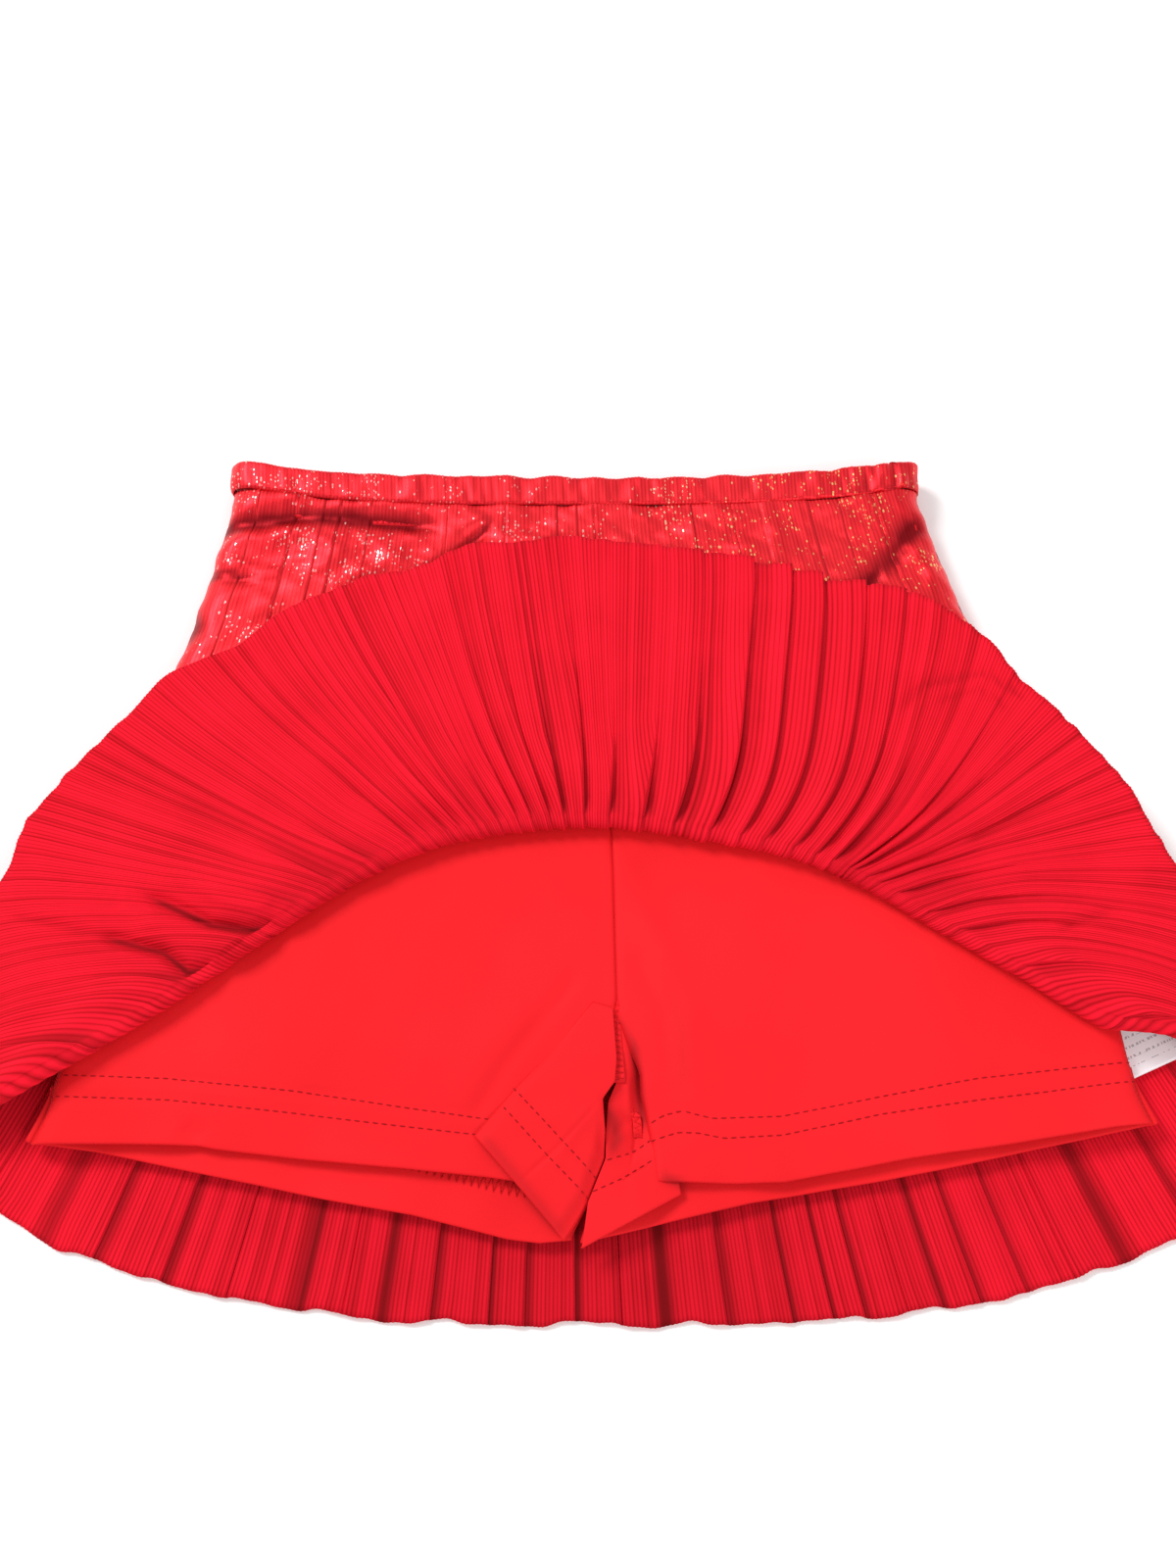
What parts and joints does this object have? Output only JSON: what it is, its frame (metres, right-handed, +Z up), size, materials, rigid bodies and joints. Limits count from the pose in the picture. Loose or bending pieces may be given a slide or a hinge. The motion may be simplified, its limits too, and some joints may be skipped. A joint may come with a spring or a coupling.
{
  "type": "cheer skirt",
  "caption": "Child's pleated cheer skirt with jersey shorts sewn into its waistband, lying on its back with the front of the skirt folded back up over itself.",
  "frame": {"origin": "on the table, under the middle of the outline", "axes": "+X to the right across the skirt as it lies, +Y towards the waistband, +Z up from the table"},
  "size_m": [0.49, 0.316, 0.0246],
  "materials": {
    "foil": "red foil-printed plisse, metallic sparkle",
    "pleat": "matt red plisse, the inside of the skirt's fabric",
    "jersey": "smooth matt red jersey",
    "elastic": "woven white elastic",
    "thread": "matt red polyester thread",
    "satin": "white satin"
  },
  "bodies": {
    "garment": {"waistband_front": "foil", "waistband_back": "foil", "front_panel_upper": "foil", "front_fold_roll": "pleat", "front_wing_left": "pleat", "front_wing_right": "pleat", "back_panel": "pleat", "shorts_left_front": "jersey", "shorts_left_back": "jersey", "shorts_left_front_turn_up": "jersey", "shorts_left_back_turn_up": "jersey", "shorts_left_inner_leg": "jersey", "shorts_right_front": "jersey", "shorts_right_back": "jersey", "shorts_right_front_turn_up": "jersey", "shorts_right_back_turn_up": "jersey", "shorts_right_inner_leg": "jersey", "waist_elastic": "elastic", "waistband_stitch_front": "thread", "waistband_stitch_back": "thread", "skirt_side_seam_left": "thread", "skirt_side_seam_right": "thread", "waist_seam_front": "thread", "waist_seam_back": "thread", "shorts_centre_front_seam": "thread", "shorts_centre_back_seam": "thread", "shorts_left_side_seam": "thread", "shorts_left_inseam": "thread", "shorts_left_hem_stitch_lower": "thread", "shorts_left_hem_stitch_upper": "thread", "shorts_left_inner_stitch_lower": "thread", "shorts_left_inner_stitch_upper": "thread", "shorts_left_back_looper_stitch": "thread", "shorts_right_side_seam": "thread", "shorts_right_inseam": "thread", "shorts_right_hem_stitch_lower": "thread", "shorts_right_hem_stitch_upper": "thread", "shorts_right_inner_stitch_lower": "thread", "shorts_right_inner_stitch_upper": "thread", "shorts_right_back_looper_stitch": "thread", "care_label_lower_leaf": "satin", "care_label_upper_leaf": "satin"},
    "flap": {"front_flap": "pleat"}
  },
  "joints": [
    {"name": "front_flap_fold", "type": "hinge", "parent": "garment", "child": "flap", "pos_m": [0, 0.0163, 0.02475], "axis": [1, 0, 0], "range_deg": [0, 176]}
  ]
}
